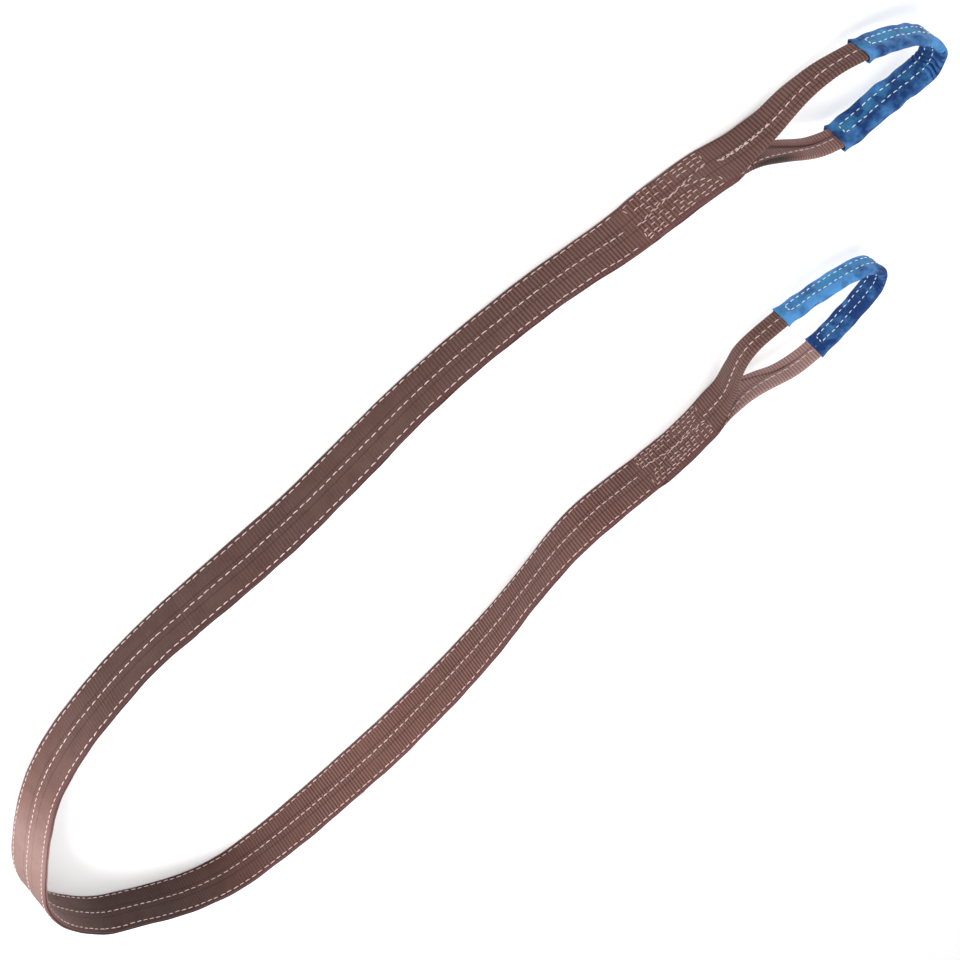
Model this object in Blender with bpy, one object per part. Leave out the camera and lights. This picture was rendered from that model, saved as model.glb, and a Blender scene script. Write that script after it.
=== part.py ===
"""Two-ply eye-and-eye webbing sling with folded eyes and wear sleeves.

The sling stands on the edge of its web, bent into a long U. The eyes point to -X and the
turn of the U to +X. Strand "a" runs along the -Y side and strand "b" along the +Y side.
The ground is z = 0. The webbing is cut at three upright hinges, where the real web flexes.
"""
import math

import bmesh
import bpy
from mathutils import Vector

# Driving dimensions, in metres.
WEB_WIDTH = 0.057
PLY = 0.0028
CLEAR = 0.0003
STITCH_CLEAR = 0.0006
TAIL = 0.0026
TAIL_WIDTH = 0.055
TAIL_RAMP = 0.014
SPLICE_LENGTH = {"a": 0.130, "b": 0.117}
HINGE_GAP = 0.0044
FOLDED_WIDTH = 0.029
FOLDED_THICKNESS = 0.0060
FOLD_LENGTH = 0.110
SLEEVE_CLEAR = 0.0004
SLEEVE_WALL = 0.0015
CORNER = 0.0016
CORNER_SHARE = 0.3
OUTER_CORNER = 0.0026
THREAD_WIDTH = 0.0022
THREAD_HEIGHT = 0.0006
EDGE_ROW = 0.0245
CENTRE_ROW = -0.0014
SLEEVE_ROW = 0.0105
MOUTH_ROW = 0.012
SLEEVE_SEAM = 0.055
SPLICE_ROWS = (0.0245, 0.0195, 0.0120, 0.0045)
CROTCH_MARGIN = 0.014
CROTCH_GAP = 0.0014
HINGE_MARGIN = 0.023
WEB_STEP = 0.026
SPLICE_STEP = 0.012
EYE_STEP = 0.014
TIP_STEP = 0.010
FINE_STEPS = 12
TANGENT_REACH = 0.004
RAMP_SHARES = (0, 0.25, 0.5, 0.75, 1)
MITRE_LIMIT = 0.45

# Shifts the route so that the origin is the middle of the sling's outline on the ground.
ORIGIN_SHIFT = (0.0360, -0.0034)

# The lower edge of the web on the ground, from crotch a round the turn to crotch b:
# x, y and the lean of the web in degrees, positive where its top leans into the U.
ROUTE = (
    (-0.486, -0.1905, 0), (-0.455, -0.2005, 0), (-0.400, -0.2130, 1), (-0.350, -0.2215, 2),
    (-0.298, -0.234, -3), (-0.230, -0.248, -5), (-0.150, -0.257, -6), (-0.080, -0.260, -4),
    (0.000, -0.257, 1), (0.080, -0.252, 2), (0.150, -0.255, 6), (0.220, -0.258, 3),
    (0.300, -0.256, -2), (0.370, -0.248, 1), (0.440, -0.230, 4), (0.500, -0.203, 8),
    (0.550, -0.168, 12), (0.591, -0.130, 15), (0.626, -0.090, 14), (0.651, -0.046, 9),
    (0.6635, 0.004, 4), (0.6640, 0.052, 1), (0.657, 0.098, 2), (0.641, 0.141, 3),
    (0.621, 0.180, 3), (0.590, 0.214, 5), (0.545, 0.238, 6), (0.490, 0.250, 1),
    (0.430, 0.256, -3), (0.355, 0.261, -9), (0.275, 0.261, -9), (0.200, 0.256, -4),
    (0.130, 0.248, 1), (0.060, 0.234, 7), (0.005, 0.218, 9), (-0.050, 0.198, 5),
    (-0.100, 0.186, 1), (-0.150, 0.190, 4), (-0.195, 0.1985, 7), (-0.240, 0.205, 7),
    (-0.275, 0.2055, 4), (-0.3045, 0.2004, 0),
)
# The middle line of each eye from one leg at the crotch to the other: x and y.
EYE_ROUTE = {
    "a": (
        (-0.512, -0.187), (-0.543, -0.184), (-0.583, -0.191), (-0.622, -0.189), (-0.656, -0.180),
        (-0.687, -0.163), (-0.713, -0.140), (-0.731, -0.112), (-0.739, -0.086),
        (-0.736, -0.070), (-0.722, -0.061), (-0.697, -0.061), (-0.660, -0.066),
        (-0.627, -0.070), (-0.597, -0.078), (-0.567, -0.097), (-0.538, -0.130),
        (-0.511, -0.165),
    ),
    "b": (
        (-0.330, 0.183), (-0.353, 0.163), (-0.371, 0.146), (-0.394, 0.137), (-0.420, 0.135),
        (-0.450, 0.138), (-0.482, 0.145), (-0.515, 0.156), (-0.546, 0.171),
        (-0.563, 0.188), (-0.568, 0.207), (-0.561, 0.225), (-0.543, 0.236),
        (-0.511, 0.244), (-0.475, 0.250), (-0.440, 0.250), (-0.405, 0.242),
        (-0.372, 0.223), (-0.338, 0.210),
    ),
}
# How far from the crotch each sleeve starts, along the leg on the -Y side and the other one.
SLEEVE_FROM = {"a": (0.178, 0.156), "b": (0.156, 0.156)}

WEB_BROWN = (0.155, 0.078, 0.067, 1.0)
SLEEVE_BLUE = (0.012, 0.110, 0.420, 1.0)
THREAD_PINK = (0.730, 0.565, 0.540, 1.0)
THREAD_WHITE = (0.620, 0.680, 0.680, 1.0)
WEB_ROUGHNESS = 0.85
SLEEVE_ROUGHNESS = 0.80
THREAD_ROUGHNESS = 0.70


def clear_scene():
    for obj in list(bpy.data.objects):
        bpy.data.objects.remove(obj, do_unlink=True)


def make_material(name, colour, roughness):
    material = bpy.data.materials.new(name)
    material.use_nodes = True
    shader = material.node_tree.nodes["Principled BSDF"]
    shader.inputs["Base Color"].default_value = colour
    shader.inputs["Roughness"].default_value = roughness
    shader.inputs["Metallic"].default_value = 0.0
    return material


def smoothstep(t):
    t = min(max(t, 0.0), 1.0)
    return t * t * (3 - 2 * t)


def spline_points(knots):
    """Points of a Catmull-Rom curve through the knots, which may carry extra values."""
    ends = [Vector(k) for k in knots]
    ends = [2 * ends[0] - ends[1]] + ends + [2 * ends[-1] - ends[-2]]
    points = []
    for p0, p1, p2, p3 in zip(ends, ends[1:], ends[2:], ends[3:]):
        for step in range(FINE_STEPS):
            t = step / FINE_STEPS
            points.append(0.5 * (
                2 * p1 + (p2 - p0) * t + (2 * p0 - 5 * p1 + 4 * p2 - p3) * t * t
                + (3 * p1 - p0 - 3 * p2 + p3) * t ** 3
            ))
    points.append(ends[-2])
    return points


class Path:
    """A smooth path over the ground, read by the distance along it."""

    def __init__(self, knots):
        self.points = spline_points(knots)
        self.at = [0.0]
        for p, q in zip(self.points, self.points[1:]):
            self.at.append(self.at[-1] + (q.xy - p.xy).length)
        self.length = self.at[-1]

    def value(self, s):
        s = min(max(s, 0.0), self.length)
        k = 1
        while k < len(self.at) - 1 and self.at[k] < s:
            k += 1
        share = (s - self.at[k - 1]) / (self.at[k] - self.at[k - 1])
        return self.points[k - 1].lerp(self.points[k], share)

    def tangent(self, s):
        step = self.value(s + TANGENT_REACH).xy - self.value(s - TANGENT_REACH).xy
        return step.normalized()


def shifted(knots):
    return [(k[0] + ORIGIN_SHIFT[0], k[1] + ORIGIN_SHIFT[1], *k[2:]) for k in knots]


class Web:
    """The two-ply web along the ground: its faces, its splices and its hinges."""

    def __init__(self):
        self.path = Path(shifted([(x, y, math.radians(lean)) for x, y, lean in ROUTE]))
        self.hinges = {
            "a": SPLICE_LENGTH["a"],
            "turn": self.turn_distance(),
            "b": self.path.length - SPLICE_LENGTH["b"],
        }

    def turn_distance(self):
        """The distance to the far point of the turn, where the web crosses the U."""
        far = max(range(len(self.path.points)), key=lambda k: self.path.points[k].x)
        return self.path.at[far]

    def to_hinge(self, s):
        """How far s lies past a splice hinge into its splice; below 0 on the strands."""
        return max(self.hinges["a"] - s, s - self.hinges["b"])

    def ply_offset(self, s):
        """Distance from the web's middle to the middle of each ply."""
        open_share = smoothstep((self.to_hinge(s) - HINGE_GAP) / TAIL_RAMP)
        return PLY / 2 + CLEAR / 2 + open_share * (TAIL + CLEAR) / 2

    def frame(self, s):
        """The web's middle point, its face normal (into the U) and its width direction."""
        value = self.path.value(s)
        tangent = self.path.tangent(s)
        inward = Vector((-tangent.y, tangent.x, 0))
        lean = value.z
        width = inward * math.sin(lean) + Vector((0, 0, math.cos(lean)))
        normal = inward * math.cos(lean) - Vector((0, 0, math.sin(lean)))
        half = self.ply_offset(s) + PLY / 2
        lift = Vector((0, 0, half * abs(math.sin(lean))))
        middle = Vector((value.x, value.y, 0)) + width * WEB_WIDTH / 2 + lift
        return middle, normal, width


def spread(start, end, step):
    """Evenly spaced distances from start to end, about one step apart."""
    count = max(2, round(abs(end - start) / step))
    return [start + (end - start) * k / count for k in range(count + 1)]


def web_distances(web, start, end):
    """Distances along the web, closer together where the plies open round the tail."""
    inside = web.to_hinge((start + end) / 2) > 0
    points = spread(start, end, SPLICE_STEP if inside else WEB_STEP)
    if inside:
        hinge = web.hinges["a"] if start < web.hinges["a"] else web.hinges["b"]
        away = -1 if start < web.hinges["a"] else 1
        points += [hinge + away * (HINGE_GAP + TAIL_RAMP * share) for share in RAMP_SHARES]
    return sorted(p for p in set(points) if start <= p <= end)


def rings_to_object(name, rings, material, inner_rings=None):
    """A closed solid through rings of points, capped flat, or a tube if it has inner rings."""
    mesh = bmesh.new()
    layers = []
    for loops in (rings, inner_rings or []):
        layers.append([[mesh.verts.new(p) for p in ring] for ring in loops])
    for layer in layers:
        for low, high in zip(layer, layer[1:]):
            bridge(mesh, low, high)
    outer, inner = layers
    if inner:
        bridge(mesh, outer[0], inner[0])
        bridge(mesh, outer[-1], inner[-1])
    else:
        mesh.faces.new(outer[0])
        mesh.faces.new(outer[-1])
    bmesh.ops.recalc_face_normals(mesh, faces=mesh.faces)
    data = bpy.data.meshes.new(name)
    mesh.to_mesh(data)
    mesh.free()
    data.materials.append(material)
    obj = bpy.data.objects.new(name, data)
    bpy.context.scene.collection.objects.link(obj)
    return obj


def bridge(mesh, low, high):
    """Triangles between two rings, each split from its lower side so that gaps stay even."""
    count = len(low)
    for k in range(count):
        a, b = low[k], low[(k + 1) % count]
        d, c = high[k], high[(k + 1) % count]
        if a.co.z <= b.co.z:
            mesh.faces.new((a, b, c))
            mesh.faces.new((a, c, d))
        else:
            mesh.faces.new((a, b, d))
            mesh.faces.new((b, c, d))


def strip(middle, normal, width, thick, wide):
    """The six-point section of a flat strip, with a point halfway across each face."""
    corners = ((-1, -1), (1, -1), (1, 0), (1, 1), (-1, 1), (-1, 0))
    return [middle + normal * a * thick / 2 + width * b * wide / 2 for a, b in corners]


def thread(middle, normal, width, thick, wide):
    corners = ((-1, -1), (1, -1), (1, 1), (-1, 1))
    return [middle + normal * a * thick / 2 + width * b * wide / 2 for a, b in corners]


def rounded(middle, normal, width, thick, wide, corner):
    """An eight-sided section: a rectangle with its corners cut off."""
    t = thick / 2
    w = wide / 2
    outline = (
        (-t, -w + corner), (-t + corner, -w), (t - corner, -w), (t, -w + corner),
        (t, w - corner), (t - corner, w), (-t + corner, w), (-t, w - corner),
    )
    return [middle + normal * a + width * b for a, b in outline]


def flat_run(web, start, end, offset, across, thick, wide, section=strip):
    """Rings of a strip along the web, offset along its face normal and across it."""
    rings = []
    for s in web_distances(web, start, end):
        middle, normal, width = web.frame(s)
        side = offset(s)
        middle += normal * side + width * across
        rings.append(section(middle, normal, width, thick, wide))
    return rings


def make_ply(web, name, side, start, end, material):
    rings = flat_run(web, start, end, lambda s: side * web.ply_offset(s), 0.0, PLY, WEB_WIDTH)
    return rings_to_object(name, rings, material)


def face_offset(web, side):
    """The height of a thread that lies just clear of an outer face."""
    return lambda s: side * (web.ply_offset(s) + PLY / 2 + CLEAR + THREAD_HEIGHT / 2)


def make_seam(web, name, side, across, start, end, material):
    offset = face_offset(web, side)
    rings = flat_run(web, start, end, offset, across, THREAD_HEIGHT, THREAD_WIDTH, thread)
    return rings_to_object(name, rings, material)


def splice_pattern(start, end):
    """The stitch line of a splice: out along one edge, in zigzags, back along the other."""
    edge, near_edge, inside, centre = SPLICE_ROWS
    return (
        (start, -edge), (end, -edge), (end, -near_edge), (start, -inside),
        (start, -centre), (end, centre), (end, inside), (start, near_edge),
        (start, edge), (end, edge),
    )


def ribbon_rings(surface, pattern, step):
    """Rings of a thread along a bent line on a surface(s, v) that returns point and normal."""
    stops = []
    for (s0, v0), (s1, v1) in zip(pattern, pattern[1:]):
        count = max(1, round(math.hypot(s1 - s0, v1 - v0) / step))
        stops += [(s0 + (s1 - s0) * k / count, v0 + (v1 - v0) * k / count) for k in range(count)]
    stops.append(pattern[-1])
    rings = []
    for k, (s, v) in enumerate(stops):
        before = stops[max(k - 1, 0)]
        after = stops[min(k + 1, len(stops) - 1)]
        side = corner_side(before, (s, v), after)
        ring = []
        for sign, high in ((-1, 0), (1, 0), (1, 1), (-1, 1)):
            reach = sign * THREAD_WIDTH / 2
            point, normal = surface(s + side[0] * reach, v + side[1] * reach)
            ring.append(point + normal * (STITCH_CLEAR + high * THREAD_HEIGHT))
        rings.append(ring)
    return rings


def corner_side(before, here, after):
    """The sideways direction of a line at a corner, lengthened so its width stays even."""
    turns = []
    for p, q in ((before, here), (here, after)):
        length = math.hypot(q[0] - p[0], q[1] - p[1])
        if length > 0:
            turns.append((-(q[1] - p[1]) / length, (q[0] - p[0]) / length))
    total = Vector((sum(t[0] for t in turns), sum(t[1] for t in turns)))
    total.normalize()
    spare = max(total.dot(Vector(turns[0])), MITRE_LIMIT)
    return total.x / spare, total.y / spare


def make_splice_stitch(web, name, side, start, end, material):
    def surface(s, v):
        middle, normal, width = web.frame(s)
        height = side * (web.ply_offset(s) + PLY / 2)
        return middle + normal * height + width * v, normal * side

    rings = ribbon_rings(surface, splice_pattern(start, end), SPLICE_STEP)
    return rings_to_object(name, rings, material)


class Eye:
    """One folded eye: the loop of web past the crotch, with its sleeve round the tip."""

    def __init__(self, web, end):
        edge = 0.0 if end == "a" else web.path.length
        out = -1 if end == "a" else 1
        middle, normal, _ = web.frame(edge)
        self.middle_z = middle.z
        leg = web.ply_offset(edge)
        away = web.path.tangent(edge) * out
        low_side = normal if normal.y < 0 else -normal
        first = middle.xy + low_side.xy * leg + away * CROTCH_GAP
        last = middle.xy - low_side.xy * leg + away * CROTCH_GAP
        knots = [first, *shifted(EYE_ROUTE[end]), last]
        self.path = Path([(x, y, 0.0) for x, y in knots])
        near, far = SLEEVE_FROM[end]
        self.sleeve = (near, self.path.length - far)
        self.stops = (
            spread(0.0, self.sleeve[0], EYE_STEP)[:-1] + spread(*self.sleeve, TIP_STEP)
            + spread(self.sleeve[1], self.path.length, EYE_STEP)[1:]
        )

    def fold(self, s):
        """0 where the web is flat at the crotch, 1 where it is folded narrow."""
        return smoothstep(min(s, self.path.length - s) / FOLD_LENGTH)

    def frame(self, s):
        """The loop's middle point, its normal (out of the loop) and its width direction."""
        value = self.path.value(s)
        tangent = self.path.tangent(s)
        outward = Vector((-tangent.y, tangent.x, 0))
        return Vector((value.x, value.y, self.middle_z)), outward, Vector((0, 0, 1))

    def section(self, s):
        share = self.fold(s)
        wide = WEB_WIDTH + (FOLDED_WIDTH - WEB_WIDTH) * share
        thick = PLY + (FOLDED_THICKNESS - PLY) * share
        return thick, wide


def make_eye_web(eye, name, material):
    rings = []
    for s in eye.stops:
        middle, normal, width = eye.frame(s)
        thick, wide = eye.section(s)
        corner = min(CORNER, thick * CORNER_SHARE)
        rings.append(rounded(middle, normal, width, thick, wide, corner))
    return rings_to_object(name, rings, material)


def make_sleeve(eye, name, material):
    start, end = eye.sleeve
    thick = FOLDED_THICKNESS + 2 * SLEEVE_CLEAR
    wide = FOLDED_WIDTH + 2 * SLEEVE_CLEAR
    outer = []
    inner = []
    for s in [stop for stop in eye.stops if start <= stop <= end]:
        middle, normal, width = eye.frame(s)
        inner.append(rounded(middle, normal, width, thick, wide, CORNER))
        grown = 2 * SLEEVE_WALL
        outer.append(rounded(middle, normal, width, thick + grown, wide + grown, OUTER_CORNER))
    return rings_to_object(name, outer, material, inner)


def make_sleeve_stitch(eye, name, leg, material):
    """A U of stitches on the outer face of one leg of a sleeve, open towards the tip."""
    start, end = eye.sleeve
    mouth = start + MOUTH_ROW if leg == "near" else end - MOUTH_ROW
    reach = SLEEVE_SEAM if leg == "near" else -SLEEVE_SEAM
    height = FOLDED_THICKNESS / 2 + SLEEVE_CLEAR + SLEEVE_WALL

    def surface(s, v):
        middle, normal, width = eye.frame(s)
        return middle + normal * height + width * v, normal

    pattern = (
        (mouth + reach, -SLEEVE_ROW), (mouth, -SLEEVE_ROW), (mouth, SLEEVE_ROW),
        (mouth + reach, SLEEVE_ROW),
    )
    return rings_to_object(name, ribbon_rings(surface, pattern, EYE_STEP / 2), material)


def make_strand(web, end, start, stop, brown, pink):
    """One strand: its two plies and the three seam threads on each face."""
    for label, side in (("inner", 1), ("outer", -1)):
        make_ply(web, f"{label}_ply_{end}", side, start, stop, brown)
        rows = (("lower", -EDGE_ROW), ("centre", CENTRE_ROW), ("upper", EDGE_ROW))
        for row, across in rows:
            make_seam(web, f"{row}_seam_{label}_{end}", side, across, start, stop, pink)


def make_splice(web, end, start, stop, brown, pink):
    """One splice: two plies, the cut tail sewn in between them, and stitches on both faces."""
    for label, side in (("inner", 1), ("outer", -1)):
        make_ply(web, f"{label}_splice_ply_{end}", side, start, stop, brown)
    hinge_room = HINGE_GAP + TAIL_RAMP
    margins = (CROTCH_MARGIN, HINGE_MARGIN) if end == "a" else (HINGE_MARGIN, CROTCH_MARGIN)
    for label, side in (("inner", 1), ("outer", -1)):
        name = f"splice_stitch_{label}_{end}"
        make_splice_stitch(web, name, side, start + margins[0], stop - margins[1], pink)
    tail_start = start if end == "a" else start + hinge_room
    tail_stop = stop - hinge_room if end == "a" else stop
    rings = flat_run(web, tail_start, tail_stop, lambda s: 0.0, 0.0, TAIL - CLEAR, TAIL_WIDTH)
    rings_to_object(f"splice_tail_{end}", rings, brown)


def make_eye(web, end, brown, blue, white):
    """One eye: the folded web, its wear sleeve and the stitches on both legs."""
    eye = Eye(web, end)
    make_eye_web(eye, f"eye_web_{end}", brown)
    make_sleeve(eye, f"wear_sleeve_{end}", blue)
    for leg in ("near", "far"):
        make_sleeve_stitch(eye, f"sleeve_stitch_{leg}_{end}", leg, white)


def main():
    clear_scene()
    web = Web()
    brown = make_material("web_brown", WEB_BROWN, WEB_ROUGHNESS)
    blue = make_material("sleeve_blue", SLEEVE_BLUE, SLEEVE_ROUGHNESS)
    pink = make_material("seam_thread", THREAD_PINK, THREAD_ROUGHNESS)
    white = make_material("sleeve_thread", THREAD_WHITE, THREAD_ROUGHNESS)
    half_gap = HINGE_GAP / 2
    hinges = web.hinges
    make_strand(web, "a", hinges["a"] + half_gap, hinges["turn"] - half_gap, brown, pink)
    make_strand(web, "b", hinges["turn"] + half_gap, hinges["b"] - half_gap, brown, pink)
    make_splice(web, "a", 0.0, hinges["a"] - half_gap, brown, pink)
    make_splice(web, "b", hinges["b"] + half_gap, web.path.length, brown, pink)
    for end in ("a", "b"):
        make_eye(web, end, brown, blue, white)


main()
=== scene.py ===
"""Looks of the two-ply eye-and-eye webbing sling: ribbed web, stitches, folded eyes, sleeves."""
import math

import bpy
import numpy as np
from mathutils import Matrix, Vector


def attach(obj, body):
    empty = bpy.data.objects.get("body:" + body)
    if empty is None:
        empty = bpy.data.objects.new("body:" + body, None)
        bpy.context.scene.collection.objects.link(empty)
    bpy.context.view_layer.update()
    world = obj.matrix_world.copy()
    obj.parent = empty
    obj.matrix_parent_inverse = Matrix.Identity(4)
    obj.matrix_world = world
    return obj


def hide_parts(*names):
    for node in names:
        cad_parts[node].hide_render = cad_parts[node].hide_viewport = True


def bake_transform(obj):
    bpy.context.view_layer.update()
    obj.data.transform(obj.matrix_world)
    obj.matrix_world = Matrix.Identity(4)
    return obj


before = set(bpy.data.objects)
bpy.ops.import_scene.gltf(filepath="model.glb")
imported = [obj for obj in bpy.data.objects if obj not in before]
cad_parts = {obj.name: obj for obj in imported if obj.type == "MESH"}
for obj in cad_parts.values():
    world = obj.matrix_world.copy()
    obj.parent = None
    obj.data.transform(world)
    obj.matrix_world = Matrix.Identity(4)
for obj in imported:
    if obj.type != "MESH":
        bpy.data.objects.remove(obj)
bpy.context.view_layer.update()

# ---- sizes, in metres: those of the CAD part, but for the tail, which is a little wider ----
WEB_WIDTH = 0.057
HALF = WEB_WIDTH / 2
PLY = 0.0028
CLEAR = 0.0003
TAIL = 0.0026
TAIL_WIDTH = 0.0566
TAIL_RAMP = 0.014
TAIL_END = 0.009
SPLICE_LENGTH = {"a": 0.130, "b": 0.117}
HINGE_GAP = 0.0044
SLEEVE_WALL = 0.0013
ORIGIN_SHIFT = (0.0360, -0.0034)

# ---- the lower edge of the web on the ground (x, y, lean in degrees): it keeps within a few
# millimetres and degrees of the CAD part's ----
ROUTE = (
    (-0.486, -0.1905, 0), (-0.455, -0.2040, 3), (-0.400, -0.2160, 4), (-0.350, -0.2225, 3),
    (-0.298, -0.234, -3), (-0.230, -0.248, -5), (-0.150, -0.257, -6), (-0.080, -0.260, -4),
    (0.000, -0.257, 1), (0.080, -0.252, 2), (0.150, -0.255, 6), (0.220, -0.258, 3),
    (0.300, -0.258, -2), (0.370, -0.250, 1), (0.440, -0.2325, 4), (0.500, -0.205, 8),
    (0.550, -0.168, 12), (0.591, -0.130, 15), (0.626, -0.090, 14), (0.651, -0.046, 9),
    (0.6635, 0.004, 4), (0.6640, 0.052, 1), (0.657, 0.098, 2), (0.638, 0.136, 4),
    (0.615, 0.175, 4), (0.586, 0.212, 3), (0.545, 0.2415, 2), (0.490, 0.254, -2),
    (0.430, 0.259, -6), (0.355, 0.261, -9), (0.275, 0.261, -9), (0.200, 0.256, -4),
    (0.130, 0.248, 1), (0.060, 0.234, 9), (0.005, 0.218, 13), (-0.050, 0.198, 8),
    (-0.100, 0.188, 2), (-0.150, 0.193, 3), (-0.195, 0.202, 7), (-0.240, 0.2075, 10),
    (-0.275, 0.2065, 12), (-0.3045, 0.2000, 10),
)
# ---- the middle line of each eye between its two ends at the crotch ----
EYE_ROUTE = {
    "a": (
        (-0.512, -0.187), (-0.543, -0.1855), (-0.583, -0.193), (-0.622, -0.191), (-0.656, -0.178),
        (-0.687, -0.1595), (-0.713, -0.137), (-0.7325, -0.112), (-0.739, -0.089),
        (-0.734, -0.073), (-0.721, -0.063), (-0.697, -0.064), (-0.660, -0.070),
        (-0.627, -0.072), (-0.597, -0.077), (-0.567, -0.097), (-0.538, -0.133),
        (-0.511, -0.166),
    ),
    "b": (
        (-0.330, 0.183), (-0.353, 0.158), (-0.371, 0.1405), (-0.394, 0.1325), (-0.420, 0.133),
        (-0.450, 0.137), (-0.482, 0.145), (-0.515, 0.156), (-0.546, 0.171),
        (-0.564, 0.188), (-0.568, 0.207), (-0.560, 0.224), (-0.542, 0.235),
        (-0.511, 0.244), (-0.475, 0.251), (-0.440, 0.252), (-0.405, 0.2445),
        (-0.372, 0.226), (-0.338, 0.211),
    ),
}
SLEEVE_FROM = {"a": (0.178, 0.156), "b": (0.156, 0.156)}

# ---- the look of the webbing ----
RIB_PITCH = 0.0042
RIB_HEIGHT = 0.00042
RIB_SAMPLES = 4
SMOOTH_BAND = 0.130
TRACER = 0.0066
WARP_PITCH = 0.00105
WEFT_PITCH = 0.0021
SLEEVE_WEAVE = 0.0011
SEAM_ROWS = {"lower": -0.0245, "centre": -0.0014, "upper": 0.0245}
STITCH_PITCH = 0.0095
STITCH_LENGTH = 0.0072
THREAD_RADIUS = 0.00052
FINE_THREAD = 0.92 * THREAD_RADIUS
SPLICE_PITCH = 0.0084
SPLICE_DASH = 0.0060
LOWER_FLAP = 0.0140
UPPER_FLAP = 0.01935
FOLD_RADIUS = 0.00165
SPLIT_A = 0.74
SPLIT_B = 1.76
SLEEVE_ROWS = (-0.0083, 0.0032)
# How far each margin is folded over, 0 to 1, by the distance from the crotch along a leg:
# first the margin on the ground side, then the one on top. Below 0 is inside the splice.
FLAPS = {
    ("a", "near"): (
        ((-0.010, 0), (0.030, 0.18), (0.070, 0.40), (0.110, 0.72), (0.150, 1)),
        ((-0.024, 0), (0.004, 0.44), (0.030, 0.76), (0.070, 0.97), (0.110, 1)),
    ),
    ("a", "far"): (
        ((-0.020, 0), (0.005, 0.45), (0.040, 0.85), (0.090, 1)),
        ((-0.014, 0), (0.008, 0.50), (0.045, 0.70), (0.100, 0.90), (0.140, 1)),
    ),
    ("b", "near"): (
        ((-0.008, 0), (0.035, 0.30), (0.075, 0.75), (0.120, 1)),
        ((-0.022, 0), (0.004, 0.44), (0.030, 0.82), (0.065, 1)),
    ),
    ("b", "far"): (
        ((-0.006, 0), (0.040, 0.40), (0.090, 0.90), (0.130, 1)),
        ((-0.018, 0), (0.010, 0.55), (0.045, 0.90), (0.090, 1)),
    ),
}
SLEEVE_HALF_WIDE = {"a": (0.0175, 0.0190), "b": (0.0151, 0.0155)}
# How far the web of each eye leans out of its loop, in degrees, by the share of the way round.
EYE_LEAN = {
    "a": ((0, 0), (0.10, 3), (0.30, 3), (0.45, 0), (0.60, 5), (0.85, 5), (0.97, 0), (1, 0)),
    "b": ((0, 10), (0.10, 10), (0.34, 9), (0.46, 3), (0.60, 0), (1, 0)),
}
# How light the web is: along the body, wear with painted light and shade; on each eye's legs,
# painted light.
WEB_WEAR_AND_PAINTED_LIGHT = (
    (0.00, 0.66), (0.10, 0.69), (0.30, 0.54), (0.55, 0.43), (0.85, 0.42), (1.00, 0.72),
    (1.12, 1.24), (1.24, 0.84), (1.36, 0.32), (1.46, 0.28), (1.60, 0.58), (1.78, 0.75),
    (2.10, 0.67), (2.42, 0.68),
)
EYE_PAINTED_LIGHT = {"a": {"near": 0.58, "far": 1.00}, "b": {"near": 0.61, "far": 1.40}}
# How much darker both faces of the folded margin on top are painted beside the crotch on the far
# leg: painted shade.
FLAP_PAINTED_SHADE = {"a": 0.80, "b": 0.0}
# How light each sleeve is painted, 0 to 1, on its near leg, at its tip and on its far leg: painted
# light and shade.
SLEEVE_PAINTED_LIGHT = {"a": (0.44, 0.26, 0.31), "b": (0.78, 0.20, 0.04)}
SLEEVE_PITCH = 0.0078
SLEEVE_DASH = 0.0050
SLEEVE_HEM = 0.0125
# A sleeve's section is a flattened oval: its half thickness and the power that squares it off.
SLEEVE_HALF_THICK = 0.0043
SLEEVE_SQUARE = 0.42
SLEEVE_THINNEST = 0.0036
SLEEVE_STATIONS = 280
SLEEVE_AROUND = 80
SLEEVE_WAVES = 12
SLEEVE_UNEVEN = {"a": 0.0006, "b": 0.0003}
# Seeds of the random unevenness, one for each set of stitches and each sleeve.
STITCH_SEED = {"a": 11, "b": 12, "turn": 21}
SLEEVE_SEED = {"a": 3, "b": 8}

# ---- how far the eye's path is smoothed, in samples ----
EYE_STEP = 0.001
LINE_BLUR = 5.0
WIDTH_BLUR = 8.0
CROTCH_REACH = 45.0
LOOP_MARGIN = 40
LOOP_BLUR_SHARE = 0.25


# ============ paths ============
def catmull(knots, steps=16):
    p = np.array(knots, float)
    p = np.vstack([2 * p[0] - p[1], p, 2 * p[-1] - p[-2]])
    t = np.arange(steps)[:, None] / steps
    out = []
    for a, b, c, d in zip(p, p[1:], p[2:], p[3:]):
        cubic = 3 * b - a - 3 * c + d
        square = 2 * a - 5 * b + 4 * c - d
        out.append(0.5 * (2 * b + (c - a) * t + square * t * t + cubic * t ** 3))
    out.append(p[-2][None])
    return np.vstack(out)


def lengths(points):
    steps = np.hypot(*np.diff(points[:, :2], axis=0).T)
    return np.concatenate([[0.0], np.cumsum(steps)])


def smoothstep(t):
    t = np.clip(t, 0.0, 1.0)
    return t * t * (3 - 2 * t)


def unit(v):
    return v / np.linalg.norm(v, axis=-1, keepdims=True)


def shifted(knots):
    return [(k[0] + ORIGIN_SHIFT[0], k[1] + ORIGIN_SHIFT[1], *k[2:]) for k in knots]


BODY = catmull(shifted([(x, y, math.radians(lean)) for x, y, lean in ROUTE]))
BODY_AT = lengths(BODY)
BODY_LENGTH = BODY_AT[-1]
EDGE = {"a": 0.0, "b": BODY_LENGTH}
SPLIT = {"a": SPLIT_A, "b": SPLIT_B}
HINGE = {"a": SPLICE_LENGTH["a"], "b": BODY_LENGTH - SPLICE_LENGTH["b"]}
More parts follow.
